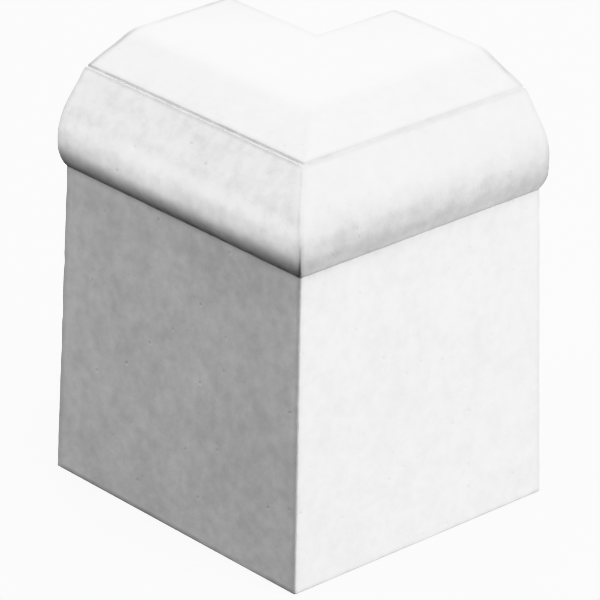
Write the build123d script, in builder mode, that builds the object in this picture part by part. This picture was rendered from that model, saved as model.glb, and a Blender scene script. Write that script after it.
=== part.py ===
from build123d import *
from math import acos, atan, cos, degrees, radians, sin, tan
import os

# Outside corner moulding: a base moulding returned round the outside corner of a wall, cast as one piece.
# The corner of the wall stands on the Z axis, and the floor is at Z = 0.
# The left leg runs along -X and faces -Y, the right leg runs along +Y and faces +X.

# Overall sizes, in millimetres: the returns are how far each leg runs on past the corner of the wall
height = 150.0
thickness = 76.0
left_return = 43.0
right_return = 34.0

# Plinth: the tall face leans back from its foot
plinth_batter = 5.2

# Nose: a lip rounds out over the plinth to a narrow front, and a crown rounds off into a face that slopes back
nose_overhang = 4.0
nose_front = 2.6
lip_radius = 13.0
crown_radius = 18.0
slope_rise = 10.0
slope_angle = 38.5

# Bevel: rises from the slope to the flat top, which it meets in a soft curve
bevel_rise = 8.0
bevel_run = 20.0
bevel_blend = 18.0

# Quirk: the fine groove along the foot of the bevel
quirk_width = 1.5
quirk_depth = 0.8

# Radius of the eased edges
arris_radius = 0.8

# Places on the section, as distances out from the wall and heights above the floor
lip_angle = degrees(acos(1 - nose_overhang / lip_radius))
bevel_angle = degrees(atan(bevel_rise / bevel_run))
slope_lean = radians(slope_angle)
crease_z = height - bevel_rise
slope_z = crease_z - slope_rise
crown_z = slope_z - crown_radius * sin(slope_lean)
lip_z = crown_z - nose_front
plinth_x = thickness - plinth_batter
nose_x = plinth_x + nose_overhang
slope_x = nose_x - crown_radius * (1 - cos(slope_lean))
crease_x = slope_x - slope_rise * tan(slope_lean)
foot = (thickness, 0)
crease = (crease_x, crease_z)
bevel_top = (crease_x - bevel_run, height)
wall_top = (0, height)

with BuildPart() as corner_moulding:
    # Line of the wall, round its corner
    with BuildLine() as wall_line:
        Polyline((-left_return, 0), (0, 0), (0, right_return))

    # The section runs along the wall and turns the corner in a mitre
    left_end = Plane(origin=(-left_return, 0, 0), x_dir=(0, -1, 0), z_dir=(-1, 0, 0))
    with BuildSketch(left_end) as section:
        with BuildLine():
            lip = CenterArc((nose_x - lip_radius, lip_z), lip_radius, -lip_angle, lip_angle)
            crown = CenterArc((nose_x - crown_radius, crown_z), crown_radius, 0, slope_angle)
            Line(lip @ 1, crown @ 0)
            Polyline(crown @ 1, crease, bevel_top, wall_top, (0, 0), foot, lip @ 0)
        make_face()
        fillet(section.vertices().sort_by_distance(bevel_top)[0], radius=bevel_blend)
    sweep(path=wall_line.wire(), transition=Transition.RIGHT)

    # Outside edges are eased, apart from those of the two ends, which stay sharp for a tight joint
    ends = corner_moulding.faces().sort_by(Axis.X)[:1] + corner_moulding.faces().sort_by(Axis.Y)[-1:]
    outside_edges = corner_moulding.edges().filter_by(lambda edge: not edge.is_interior)
    fillet(outside_edges - ends.edges(), radius=arris_radius)

    # The quirk is cut up the bevel from the crease, a V that opens out past the surface
    bevel_foot = left_end * Location((crease_x, crease_z, 0), (0, 0, 180 - bevel_angle))
    with BuildSketch(bevel_foot) as quirk:
        with BuildLine():
            bottom = (quirk_width / 2, quirk_depth)
            Polyline(bottom, (-quirk_width / 2, -quirk_depth), (3 * quirk_width / 2, -quirk_depth), close=True)
        make_face()
    sweep(path=wall_line.wire(), transition=Transition.RIGHT, mode=Mode.SUBTRACT)

corner_moulding.part.label = "corner_moulding"
os.makedirs("parts", exist_ok=True)
export_step(corner_moulding.part, "parts/corner_moulding.step")
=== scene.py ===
import math

import bmesh
import bpy
from mathutils import Matrix, Vector, geometry, noise


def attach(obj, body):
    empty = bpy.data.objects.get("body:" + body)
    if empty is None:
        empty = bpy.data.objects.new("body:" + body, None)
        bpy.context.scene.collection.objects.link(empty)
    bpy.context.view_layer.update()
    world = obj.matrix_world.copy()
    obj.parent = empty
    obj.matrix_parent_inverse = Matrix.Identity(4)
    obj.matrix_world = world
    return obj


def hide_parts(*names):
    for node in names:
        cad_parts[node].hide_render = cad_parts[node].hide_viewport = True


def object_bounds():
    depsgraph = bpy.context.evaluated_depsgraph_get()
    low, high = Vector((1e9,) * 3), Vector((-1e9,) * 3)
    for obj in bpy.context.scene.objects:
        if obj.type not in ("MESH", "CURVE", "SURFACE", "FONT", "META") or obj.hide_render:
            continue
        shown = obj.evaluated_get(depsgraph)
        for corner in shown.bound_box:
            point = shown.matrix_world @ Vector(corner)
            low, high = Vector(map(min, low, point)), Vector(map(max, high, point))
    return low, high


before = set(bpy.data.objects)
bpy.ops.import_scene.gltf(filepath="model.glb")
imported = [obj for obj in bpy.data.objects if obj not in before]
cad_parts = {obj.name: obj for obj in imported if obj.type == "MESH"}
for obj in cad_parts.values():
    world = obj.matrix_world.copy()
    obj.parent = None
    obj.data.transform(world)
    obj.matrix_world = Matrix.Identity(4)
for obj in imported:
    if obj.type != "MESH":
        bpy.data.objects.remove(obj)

# Outside corner moulding in white cast stone: one block that wraps the outside corner of a wall.
# The wall's corner stands on the Z axis. The left leg runs along -X, the right leg along +Y.

MM = 0.001
CAD_LOW, CAD_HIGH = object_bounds()
NODE = "corner_moulding"

# The section, as in the solid: distances out from the wall and heights above the floor, in metres
HEIGHT = CAD_HIGH.z
LEFT_RETURN = -CAD_LOW.x
RIGHT_RETURN = CAD_HIGH.y
THICKNESS = 76.0 * MM
PLINTH_BATTER = 5.2 * MM
NOSE_OVERHANG = 4.0 * MM
NOSE_FRONT = 2.6 * MM
LIP_RADIUS = 13.0 * MM
CROWN_RADIUS = 18.0 * MM
SLOPE_RISE = 10.0 * MM
SLOPE_LEAN = math.radians(38.5)
BEVEL_RISE = 8.0 * MM
BEVEL_RUN = 20.0 * MM
BEVEL_BLEND = 18.0 * MM
QUIRK_WIDTH = 1.5 * MM
QUIRK_DEPTH = 0.8 * MM
ARRIS_RADIUS = 0.8 * MM

# Places on the section
LIP_ANGLE = math.acos(1 - NOSE_OVERHANG / LIP_RADIUS)
NOSE_X = THICKNESS - PLINTH_BATTER + NOSE_OVERHANG
CROWN_X = NOSE_X - CROWN_RADIUS
CREASE_Z = HEIGHT - BEVEL_RISE
CROWN_Z = CREASE_Z - SLOPE_RISE - CROWN_RADIUS * math.sin(SLOPE_LEAN)
LIP_Z = CROWN_Z - NOSE_FRONT
CREASE_X = CROWN_X + CROWN_RADIUS * math.cos(SLOPE_LEAN) - SLOPE_RISE * math.tan(SLOPE_LEAN)
WALL_FOOT = Vector((0, 0))
FOOT = Vector((THICKNESS, 0))
PLINTH_TOP = Vector((THICKNESS - PLINTH_BATTER, LIP_Z - LIP_RADIUS * math.sin(LIP_ANGLE)))
SLOPE_FOOT = Vector((CROWN_X + CROWN_RADIUS * math.cos(SLOPE_LEAN), CREASE_Z - SLOPE_RISE))
CREASE = Vector((CREASE_X, CREASE_Z))
BEVEL_TOP = Vector((CREASE_X - BEVEL_RUN, HEIGHT))
WALL_TOP = Vector((0, HEIGHT))
UP_BEVEL = (BEVEL_TOP - CREASE).normalized()
INTO_BEVEL = Vector((-UP_BEVEL.y, UP_BEVEL.x))
QUIRK_BOTTOM = CREASE + UP_BEVEL * QUIRK_WIDTH / 2 + INTO_BEVEL * QUIRK_DEPTH
QUIRK_TOP = CREASE + UP_BEVEL * QUIRK_WIDTH

# How finely the surface is divided, how far the points that fill the ends keep from their outline,
# below what distance points count as one, and the softening of the quirk
STEP = 1.3 * MM
ARC_STEP = math.radians(9.0)
MITRE_ROWS = 4
CLEARANCE = 0.6 * STEP
TOLERANCE = MM / 1000
QUIRK_EASE = 0.25 * MM

# Relief of the cast face: slow waves (their fade, spacing and number of octaves), grain,
# and edges worn back here and there
WAVE_LENGTH = 17.0 * MM
WAVE_DEPTH = 0.07 * MM
WAVE_OCTAVES = (1.0, 2.0, 3)
GRAIN_LENGTH = 3.4 * MM
GRAIN_DEPTH = 0.03 * MM
WEAR_LENGTH = 6.0 * MM
WEAR_DEPTH = 0.28 * MM
WEAR_WIDTH = 1.6 * MM
WEAR_BIAS = 0.1
SHARP_ANGLE = math.radians(40.0)

# Painted shade in the stone's colour: how strong it is in the quirk, in the angle under the nose, along the
# edges and along the mitre, and how wide the cores of its marks are
QUIRK_PAINTED_SHADE = 0.65
ANGLE_PAINTED_SHADE = 0.35
EDGE_PAINTED_SHADE = 0.45
TOP_EDGE_PAINTED_SHADE = 1.0
MITRE_PAINTED_SHADE = 0.25
SHADE_CORE = 0.8 * MM
QUIRK_CORE = 1.0 * MM
TOP_EDGE_CORE = 1.5 * MM

# The stone: its paleness, and the sizes and contrast of its clouds, blotches, mottling and sand
PALENESS = 0.83
CLOUD_SIZE = 30.0 * MM
CLOUD_CONTRAST = 0.04
BLOTCH_SIZE = 9.0 * MM
BLOTCH_CONTRAST = 0.05
MOTTLE_SIZE = 3.6 * MM
MOTTLE_CONTRAST = 0.05
SAND_SIZE = 0.9 * MM
SAND_CONTRAST = 0.01
NOISE_DETAIL = 2.0
NOISE_LOW = 0.3
NOISE_HIGH = 0.7

# Its pores, as shares of their spacing, how patchy the painted shade is, and how dark the stone is in both
PORE_SPACING = 8.0 * MM
PORE_FLOOR = 0.03
PORE_RIM = 0.11
PORE_TONE = 0.9
SHADE_PATCHES = (0.6, 1.2)
PAINTED_SHADE_TONE = 0.55

# Its roughness and gloss, and the strength and depth of the relief in its shading
ROUGHNESS = (0.82, 0.95)
GLOSS = 0.3
SWELL = (0.25, 0.3 * MM)
SANDING = (0.3, 0.08 * MM)
PITTING = (0.5, 0.2 * MM)

# The floor: its width, its clouds for each metre, and its looks
FLOOR_SIZE = 8.0
FLOOR_CLOUDS = 3.0
FLOOR_TONES = (0.86, 0.88)
FLOOR_ROUGHNESS = 0.9
FLOOR_GLOSS = 0.1
FLOOR_GLOW = 1.0

# The studio: softboxes of one size and distance, with azimuth, elevation and power, in degrees and watts
BOX_SIZE = 0.7
BOX_DISTANCE = 1.6
BOX_AIM = Vector((0, 0, HEIGHT / 2))
SOFTBOXES = {
    "front_box": (-33, 40, 16.3),
    "high_box": (85, 75, 18.2),
    "right_box": (118, 24, 22.5),
    "back_box": (-135, 20, 17.0),
}

# Where the spots aim, how soft they are, and the glow all round and behind
LEFT_NOSE = Vector(((THICKNESS - LEFT_RETURN) / 2, -NOSE_X, 122.5 * MM))
RIGHT_PLINTH = Vector((THICKNESS, (RIGHT_RETURN - THICKNESS) / 2, 48.0 * MM))
TOP_CORNER = Vector((25.0 * MM, -25.0 * MM, HEIGHT))
SPOT_SOFTNESS = 2.0 * MM
ROOM_GLOW = 0.02
BACKDROP_GLOW = 2.2
WHITE = (1, 1, 1, 1)

# The camera: a long lens, turned and raised as the object is seen
VIEW_AZIMUTH = 47.47
VIEW_ELEVATION = 25.46
VIEW_ROLL = math.radians(0.87)
VIEW_DISTANCE = 1.6395
VIEW_LENS = 300.0
VIEW_AIM = Vector((0.01897, -0.02337, 0.06795))


# Shape

def arc(centre, radius, start, end):
    """Points along an arc of the section, both ends included."""
    count = max(1, math.ceil(abs(end - start) / ARC_STEP))
    angles = [start + (end - start) * k / count for k in range(count + 1)]
    return [Vector((centre.x + radius * math.cos(a), centre.y + radius * math.sin(a))) for a in angles]


def eased(before, corner, after, radius):
    """The arc of that radius that rounds a corner between two straight runs, to either side."""
    into, out = (corner - before).normalized(), (after - corner).normalized()
    turn = math.atan2(into.cross(out), into.dot(out))
    reach = math.copysign(radius, turn)
    side = Vector((-into.y, into.x))
    centre = corner - into * reach * math.tan(turn / 2) + side * reach
    start = math.atan2(-side.y, -side.x)
    return arc(centre, reach, start, start + turn)


def section():
    """The section's outline as (out, up) points, anticlockwise from the foot of the wall."""
    return [
        *eased(WALL_TOP, WALL_FOOT, FOOT, ARRIS_RADIUS),
        *eased(WALL_FOOT, FOOT, PLINTH_TOP, ARRIS_RADIUS),
        *arc(Vector((NOSE_X - LIP_RADIUS, LIP_Z)), LIP_RADIUS, -LIP_ANGLE, 0),
        *arc(Vector((CROWN_X, CROWN_Z)), CROWN_RADIUS, 0, SLOPE_LEAN),
        *eased(SLOPE_FOOT, CREASE, QUIRK_BOTTOM, QUIRK_EASE),
        *eased(CREASE, QUIRK_BOTTOM, QUIRK_TOP, QUIRK_EASE),
        *eased(QUIRK_BOTTOM, QUIRK_TOP, BEVEL_TOP, QUIRK_EASE),
        *eased(QUIRK_TOP, BEVEL_TOP, WALL_TOP, BEVEL_BLEND),
        *eased(BEVEL_TOP, WALL_TOP, WALL_FOOT, ARRIS_RADIUS),
    ]


def sides_of(outline):
    """The sides of a closed outline, as pairs of points."""
    return zip(outline, outline[1:] + outline[:1])


def spaced(outline):
    """The closed outline with points added so that no two lie further than a step apart."""
    points = []
    for start, end in sides_of(outline):
        count = max(1, math.ceil((end - start).length / STEP))
        points += [start.lerp(end, k / count) for k in range(count)]
    return points


def leg_rows(length):
    """A leg's rows, from its end to the mitre, as (share of the straight run, turn of the eased mitre)."""
    count = math.ceil(length / STEP)
    straight = [(k / count, 0.0) for k in range(count + 1)]
    turned = [(1.0, math.pi / 4 * k / MITRE_ROWS) for k in range(1, MITRE_ROWS + 1)]
    return straight + turned


def row_place(leg_return, out, share, turn):
    """Distance along a leg and out from the wall, for a point of the section on one of its rows."""
    radius = min(ARRIS_RADIUS, out / 2)
    along = share * (leg_return + out - radius) - leg_return + radius * math.sin(turn)
    return along, out - radius * (1 - math.cos(turn))


def inner_points(outline):
    """A grid of points inside the section, a step apart and clear of its outline."""
    points = []
    for k in range(1, math.floor(HEIGHT / STEP)):
        z = k * STEP
        crossed = [(a, b) for a, b in sides_of(outline) if (a.y > z) != (b.y > z)]
        crossings = sorted(a.x + (b.x - a.x) * (z - a.y) / (b.y - a.y) for a, b in crossed)
        for low, high in zip(crossings[::2], crossings[1::2]):
            count = math.floor((high - low) / STEP)
            points += [Vector((low + (high - low) * (i + 0.5) / count, z)) for i in range(count)]
    return [p for p in points if min((p - q).length for q in outline) > CLEARANCE]


def from_mitre(place):
    """Distance from the mitre on the outside of the block, and far off inside the notch."""
    outside = max(place.x, -place.y) > THICKNESS / 2
    return abs(place.x + place.y) if outside else THICKNESS


def painted_shade_at(place):
    """How much painted shade a place on the surface gets, from 0 to 1: full in the core of a mark, fading
    out past it.
    """
    point = Vector((max(place.x, -place.y), place.z))
    from_end = min(place.x + LEFT_RETURN, RIGHT_RETURN - place.y)
    from_edge = min(from_end, *((point - edge).length for edge in (WALL_FOOT, FOOT, WALL_TOP)))
    edge_mark = (TOP_EDGE_PAINTED_SHADE, TOP_EDGE_CORE) if place.z > CREASE_Z else (EDGE_PAINTED_SHADE, SHADE_CORE)
    marks = (
        # Painted shade in the quirk groove along the crease
        ((point - QUIRK_BOTTOM).length, QUIRK_PAINTED_SHADE, QUIRK_CORE),
        # Painted shade in the angle under the nose, where the lip meets the plinth
        ((point - PLINTH_TOP).length, ANGLE_PAINTED_SHADE, SHADE_CORE),
        # Painted shade along the ends, the foot and the back edges, wider along the top's back edges
        (from_edge, *edge_mark),
        # Painted shade along the mitre
        (from_mitre(place), MITRE_PAINTED_SHADE, SHADE_CORE),
    )
    return max(strength * min(1.0, max(0.0, 2 - distance / core)) for distance, strength, core in marks)


def swept_block():
    """The block as a closed mesh: the section swept along both legs, with its painted shade, and two ends
    whose inner points get none.
    """
    outline = spaced(section())
    size = len(outline)
    bm = bmesh.new()
    grime = bm.verts.layers.float.new("grime")
    rows = []
    left, right = leg_rows(LEFT_RETURN + THICKNESS), leg_rows(RIGHT_RETURN + THICKNESS)
    for share, turn in left:
        places = [(*row_place(LEFT_RETURN, p.x, share, turn), p.y) for p in outline]
        rows.append([bm.verts.new((along, -out, z)) for along, out, z in places])
    for share, turn in reversed(right[:-1]):
        places = [(*row_place(RIGHT_RETURN, p.x, share, turn), p.y) for p in outline]
        rows.append([bm.verts.new((out, -along, z)) for along, out, z in places])
    for one, two in zip(rows, rows[1:]):
        for j in range(size):
            i = (j + 1) % size
            bm.faces.new((one[j], two[j], two[i], one[i]))
    # Each point gets its share of painted shade, kept on the mesh
    for v in bm.verts:
        v[grime] = painted_shade_at(v.co)

    points = outline + inner_points(outline)
    border = [list(range(size))]
    flat, _, triangles, *_ = geometry.delaunay_2d_cdt(points, [], border, 1, TOLERANCE)
    left_end = rows[0] + [bm.verts.new((-LEFT_RETURN, -p.x, p.y)) for p in flat[size:]]
    right_end = rows[-1] + [bm.verts.new((p.x, RIGHT_RETURN, p.y)) for p in flat[size:]]
    for corners in triangles:
        bm.faces.new([left_end[i] for i in corners])
        bm.faces.new([right_end[i] for i in reversed(corners)])
    bmesh.ops.recalc_face_normals(bm, faces=bm.faces)
    return bm


def weather(bm):
    """Moves the surface in and out as a cast face does, and wears its outside edges back."""
    bm.normal_update()
    sharp = {v for e in bm.edges if e.is_convex and e.calc_face_angle(0.0) > SHARP_ANGLE for v in e.verts}
    moves = {}
    for v in bm.verts:
        if v.co.z < ARRIS_RADIUS:
            continue
        rise = WAVE_DEPTH * noise.fractal(v.co / WAVE_LENGTH, *WAVE_OCTAVES)
        rise += GRAIN_DEPTH * noise.noise(v.co / GRAIN_LENGTH)
        near_edge = 1.0 if v in sharp else max(0.0, 1 - from_mitre(v.co) / WEAR_WIDTH)
        rise -= WEAR_DEPTH * near_edge * max(0.0, noise.noise(v.co / WEAR_LENGTH) + WEAR_BIAS)
        moves[v] = v.normal * rise
    for v, move in moves.items():
        v.co += move


def make_block(material):
    """The visible block, which stands for the solid."""
    bm = swept_block()
    weather(bm)
    mesh = bpy.data.meshes.new("cast_block")
    bm.to_mesh(mesh)
    bm.free()
    mesh.polygons.foreach_set("use_smooth", [True] * len(mesh.polygons))
    mesh.set_sharp_from_angle(angle=SHARP_ANGLE)
    mesh.materials.append(material)
    block = bpy.data.objects.new("cast_block", mesh)
    bpy.context.scene.collection.objects.link(block)
    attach(block, "root")
    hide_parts(NODE)


# Materials

def new_material(name):
    """An empty node material, its shader and a function that adds a node with its inputs set."""
    material = bpy.data.materials.new(name)
    material.use_nodes = True
    tree = material.node_tree
    shader = tree.nodes["Principled BSDF"]

    def node(kind, settings=None, **inputs):
        made = tree.nodes.new(kind)
        for key, value in (settings or {}).items():
            setattr(made, key, value)
        for key, value in inputs.items():
            socket = made.inputs[key.replace("_", " ")]
            if isinstance(value, bpy.types.NodeSocket):
                tree.links.new(value, socket)
            else:
                socket.default_value = value
        return made

    return material, shader, node


def spread(node, value, low, high, start=NOISE_LOW, end=NOISE_HIGH):
    """A value spread from its own range, a noise's by default, over another."""
    ranges = {"From_Min": start, "From_Max": end, "To_Min": low, "To_Max": high}
    return node("ShaderNodeMapRange", Value=value, **ranges).outputs["Result"]


def grey(node, tone):
    """The grey of a tone."""
    return node("ShaderNodeCombineColor", Red=tone, Green=tone, Blue=tone).outputs[0]


def cast_stone():
    """White cast stone: cloudy, mottled and finely sanded, matte, with small pores, and painted shade in
    its quirk, under its nose and along its edges.
    """
    material, shader, node = new_material("cast_stone")
    link = material.node_tree.links.new
    place = node("ShaderNodeTexCoord").outputs["Object"]

    def noise_of(size):
        return node("ShaderNodeTexNoise", Vector=place, Scale=1 / size, Detail=NOISE_DETAIL).outputs["Fac"]

    def varied(value, contrast, level=1.0):
        return spread(node, value, level * (1 - contrast), level * (1 + contrast))

    def product(*values):
        result = values[0]
        for value in values[1:]:
            times = node("ShaderNodeMath", {"operation": "MULTIPLY"})
            link(result, times.inputs[0])
            link(value, times.inputs[1])
            result = times.outputs[0]
        return result

    def bump(height, strength, depth, **under):
        return node("ShaderNodeBump", Strength=strength, Distance=depth, Height=height, **under).outputs[0]

    cloud = noise_of(CLOUD_SIZE)
    blotch = noise_of(BLOTCH_SIZE)
    mottle = noise_of(MOTTLE_SIZE)
    sand = noise_of(SAND_SIZE)
    cells = node("ShaderNodeTexVoronoi", Vector=place, Scale=1 / PORE_SPACING).outputs["Distance"]
    pores = spread(node, cells, 0.0, 1.0, PORE_FLOOR, PORE_RIM)
    # Painted shade read from the mesh, made patchy by the blotches
    grime = node("ShaderNodeAttribute", {"attribute_name": "grime"}).outputs["Fac"]
    patchy_shade = product(grime, spread(node, blotch, *SHADE_PATCHES))

    tone = product(
        varied(cloud, CLOUD_CONTRAST, PALENESS),
        varied(blotch, BLOTCH_CONTRAST),
        varied(mottle, MOTTLE_CONTRAST),
        varied(sand, SAND_CONTRAST),
        spread(node, pores, PORE_TONE, 1.0, 0.0, 1.0),
        # Painted shade darkens the stone's colour
        spread(node, patchy_shade, 1.0, PAINTED_SHADE_TONE, 0.0, 1.0),
    )
    link(grey(node, tone), shader.inputs["Base Color"])
    link(spread(node, mottle, *ROUGHNESS), shader.inputs["Roughness"])
    shader.inputs["Specular IOR Level"].default_value = GLOSS

    swell = bump(mottle, *SWELL)
    sanded = bump(sand, *SANDING, Normal=swell)
    pitted = bump(pores, *PITTING, Normal=sanded)
    link(pitted, shader.inputs["Normal"])
    return material


def pale_floor():
    """Plain matte floor, almost even."""
    material, shader, node = new_material("pale_floor")
    link = material.node_tree.links.new
    place = node("ShaderNodeTexCoord").outputs["Object"]
    cloud = node("ShaderNodeTexNoise", Vector=place, Scale=FLOOR_CLOUDS, Detail=NOISE_DETAIL).outputs["Fac"]
    link(grey(node, spread(node, cloud, *FLOOR_TONES)), shader.inputs["Base Color"])
    shader.inputs["Roughness"].default_value = FLOOR_ROUGHNESS
    shader.inputs["Specular IOR Level"].default_value = FLOOR_GLOSS
    shader.inputs["Emission Color"].default_value = WHITE
    shader.inputs["Emission Strength"].default_value = FLOOR_GLOW
    return material


# Studio

def make_floor():
    """The floor that the block stands on, which throws no light back at it."""
    bpy.ops.mesh.primitive_plane_add(size=FLOOR_SIZE, location=(0, 0, 0))
    floor = bpy.context.object
    floor.name = "floor"
    floor.data.materials.append(pale_floor())
    floor.visible_diffuse = floor.visible_glossy = False


def way_out(azimuth, elevation):
    """The direction out from the block, in degrees; azimuth 0 is in front of the left leg."""
    turn, rise = math.radians(azimuth), math.radians(elevation)
    level = math.cos(rise)
    return Vector((math.sin(turn) * level, -math.cos(turn) * level, math.sin(rise)))


def stand_light(name, lamp, aim, azimuth, elevation, distance):
    """Stands a light off from a point of the block and turns it to face there."""
    away = way_out(azimuth, elevation)
    light = bpy.data.objects.new(name, lamp)
    light.location = aim + away * distance
    light.rotation_mode = "QUATERNION"
    light.rotation_quaternion = (-away).to_track_quat("-Z", "Y")
    light.visible_camera = False
    bpy.context.scene.collection.objects.link(light)
    return light


def make_softbox(name, azimuth, elevation, power):
    """A square softbox that faces the block."""
    lamp = bpy.data.lights.new(name, "AREA")
    lamp.size = BOX_SIZE
    lamp.energy = power
    stand_light(name, lamp, BOX_AIM, azimuth, elevation, BOX_DISTANCE)


def make_spot(name, aim, azimuth, elevation, distance, reach, stretch, blend, power):
    """A soft spot on a band of the block: it reaches half the band's height and is stretched along it."""
    lamp = bpy.data.lights.new(name, "SPOT")
    lamp.energy = power
    lamp.spot_size = 2 * math.atan(reach / distance)
    lamp.spot_blend = blend
    lamp.shadow_soft_size = SPOT_SOFTNESS
    spot = stand_light(name, lamp, aim, azimuth, elevation, distance)
    spot.scale.x = stretch


def make_world():
    """An even glow from all round, plain white where the camera sees past the floor."""
    world = bpy.data.worlds.new("studio")
    world.use_nodes = True
    tree = world.node_tree
    glow = tree.nodes["Background"]
    glow.inputs["Color"].default_value = WHITE
    glow.inputs["Strength"].default_value = ROOM_GLOW
    seen = tree.nodes.new("ShaderNodeBackground")
    seen.inputs["Color"].default_value = WHITE
    seen.inputs["Strength"].default_value = BACKDROP_GLOW
    ray = tree.nodes.new("ShaderNodeLightPath")
    mix = tree.nodes.new("ShaderNodeMixShader")
    tree.links.new(ray.outputs["Is Camera Ray"], mix.inputs[0])
    tree.links.new(glow.outputs[0], mix.inputs[1])
    tree.links.new(seen.outputs[0], mix.inputs[2])
    tree.links.new(mix.outputs[0], tree.nodes["World Output"].inputs["Surface"])
    bpy.context.scene.world = world


def make_camera():
    """The camera, set round the aim by its azimuth, elevation and roll."""
    lens = bpy.data.cameras.new("camera")
    lens.lens = VIEW_LENS
    lens.sensor_fit = "HORIZONTAL"
    camera = bpy.data.objects.new("camera", lens)
    back = way_out(VIEW_AZIMUTH, VIEW_ELEVATION)
    turn = (-back).to_track_quat("-Z", "Y").to_matrix().to_4x4() @ Matrix.Rotation(VIEW_ROLL, 4, "Z")
    camera.matrix_world = Matrix.Translation(VIEW_AIM + back * VIEW_DISTANCE) @ turn
    bpy.context.scene.collection.objects.link(camera)
    bpy.context.scene.camera = camera


make_block(cast_stone())
make_floor()
for box_name, box in SOFTBOXES.items():
    make_softbox(box_name, *box)
make_spot(
    "nose_spot", LEFT_NOSE, azimuth=0, elevation=25, distance=0.6,
    reach=8.5 * MM, stretch=16.0, blend=1.0, power=6.0,
)
make_spot(
    "plinth_spot", RIGHT_PLINTH, azimuth=90, elevation=5, distance=0.9,
    reach=70.0 * MM, stretch=6.0, blend=0.3, power=13.0,
)
make_spot(
    "top_spot", TOP_CORNER, azimuth=-135, elevation=15, distance=0.9,
    reach=18.0 * MM, stretch=12.0, blend=1.0, power=60.0,
)
make_world()
make_camera()

view = bpy.context.scene.view_settings
view.view_transform = "Khronos PBR Neutral"
view.look = "None"
